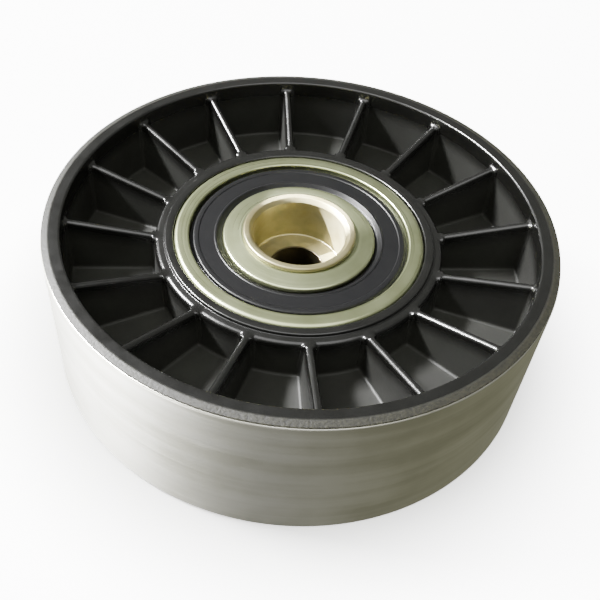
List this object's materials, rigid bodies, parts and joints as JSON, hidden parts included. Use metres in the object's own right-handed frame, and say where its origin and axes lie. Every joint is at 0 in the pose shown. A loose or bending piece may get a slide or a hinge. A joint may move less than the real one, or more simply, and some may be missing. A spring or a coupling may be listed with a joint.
{
  "type": "belt tensioner idler pulley",
  "caption": "Flat-faced idler pulley for a serpentine belt: steel-sleeved ribbed nylon wheel on a sealed ball bearing with a stepped bolt bush.",
  "frame": {"origin": "on the spin axis, in the plane of the rear rim that the pulley rests on", "axes": "+Z along the spin axis towards the ribbed front face with the bush's counterbore; +X and +Y across it"},
  "size_m": [0.08, 0.08, 0.0254],
  "materials": {
    "glass_filled_nylon": "moulded, satin black",
    "sleeve_steel": "ground steel, satin grey",
    "bearing_steel": "ground and polished bearing steel",
    "pressed_steel": "pressed strip, satin",
    "nitrile_rubber": "moulded rubber, dull dark grey",
    "yellow_zinc_steel": "turned steel, yellow zinc plated"
  },
  "bodies": {
    "fixed_bush": {"mounting_bush": "yellow_zinc_steel", "bearing_inner_ring": "bearing_steel"},
    "pulley": {"pulley_body": "glass_filled_nylon", "belt_sleeve": "sleeve_steel", "bearing_outer_ring": "bearing_steel", "front_seal_rubber": "nitrile_rubber", "front_seal_insert": "pressed_steel", "rear_seal_rubber": "nitrile_rubber", "rear_seal_insert": "pressed_steel"},
    "ball_cage": {"cage_front_half": "pressed_steel", "cage_rear_half": "pressed_steel", "cage_rivet_1": "pressed_steel", "cage_rivet_2": "pressed_steel", "cage_rivet_3": "pressed_steel", "cage_rivet_4": "pressed_steel", "cage_rivet_5": "pressed_steel", "cage_rivet_6": "pressed_steel", "cage_rivet_7": "pressed_steel", "cage_rivet_8": "pressed_steel"},
    "rolling_ball_1": {"ball_1": "bearing_steel"},
    "rolling_ball_2": {"ball_2": "bearing_steel"},
    "rolling_ball_3": {"ball_3": "bearing_steel"},
    "rolling_ball_4": {"ball_4": "bearing_steel"},
    "rolling_ball_5": {"ball_5": "bearing_steel"},
    "rolling_ball_6": {"ball_6": "bearing_steel"},
    "rolling_ball_7": {"ball_7": "bearing_steel"},
    "rolling_ball_8": {"ball_8": "bearing_steel"}
  },
  "joints": [
    {"name": "pulley_spin", "type": "hinge", "parent": "fixed_bush", "child": "pulley", "pos_m": [0, 0, 0.0154], "axis": [0, 0, 1], "continuous": true},
    {"name": "cage_orbit", "type": "hinge", "parent": "fixed_bush", "child": "ball_cage", "pos_m": [0, 0, 0.0154], "axis": [0, 0, 1], "continuous": true},
    {"name": "ball_1_spin", "type": "hinge", "parent": "ball_cage", "child": "rolling_ball_1", "pos_m": [0.01317, 0.00545, 0.0154], "axis": [0, 0, 1], "continuous": true},
    {"name": "ball_2_spin", "type": "hinge", "parent": "ball_cage", "child": "rolling_ball_2", "pos_m": [0.00545, 0.01317, 0.0154], "axis": [0, 0, 1], "continuous": true},
    {"name": "ball_3_spin", "type": "hinge", "parent": "ball_cage", "child": "rolling_ball_3", "pos_m": [-0.00545, 0.01317, 0.0154], "axis": [0, 0, 1], "continuous": true},
    {"name": "ball_4_spin", "type": "hinge", "parent": "ball_cage", "child": "rolling_ball_4", "pos_m": [-0.01317, 0.00545, 0.0154], "axis": [0, 0, 1], "continuous": true},
    {"name": "ball_5_spin", "type": "hinge", "parent": "ball_cage", "child": "rolling_ball_5", "pos_m": [-0.01317, -0.00545, 0.0154], "axis": [0, 0, 1], "continuous": true},
    {"name": "ball_6_spin", "type": "hinge", "parent": "ball_cage", "child": "rolling_ball_6", "pos_m": [-0.00545, -0.01317, 0.0154], "axis": [0, 0, 1], "continuous": true},
    {"name": "ball_7_spin", "type": "hinge", "parent": "ball_cage", "child": "rolling_ball_7", "pos_m": [0.00545, -0.01317, 0.0154], "axis": [0, 0, 1], "continuous": true},
    {"name": "ball_8_spin", "type": "hinge", "parent": "ball_cage", "child": "rolling_ball_8", "pos_m": [0.01317, -0.00545, 0.0154], "axis": [0, 0, 1], "continuous": true}
  ],
  "couplings": [
    {"joint": "cage_orbit", "follows": "pulley_spin", "ratio": 0.61837},
    {"joint": "ball_1_spin", "follows": "pulley_spin", "ratio": 1.9937},
    {"joint": "ball_2_spin", "follows": "pulley_spin", "ratio": 1.9937},
    {"joint": "ball_3_spin", "follows": "pulley_spin", "ratio": 1.9937},
    {"joint": "ball_4_spin", "follows": "pulley_spin", "ratio": 1.9937},
    {"joint": "ball_5_spin", "follows": "pulley_spin", "ratio": 1.9937},
    {"joint": "ball_6_spin", "follows": "pulley_spin", "ratio": 1.9937},
    {"joint": "ball_7_spin", "follows": "pulley_spin", "ratio": 1.9937},
    {"joint": "ball_8_spin", "follows": "pulley_spin", "ratio": 1.9937}
  ]
}
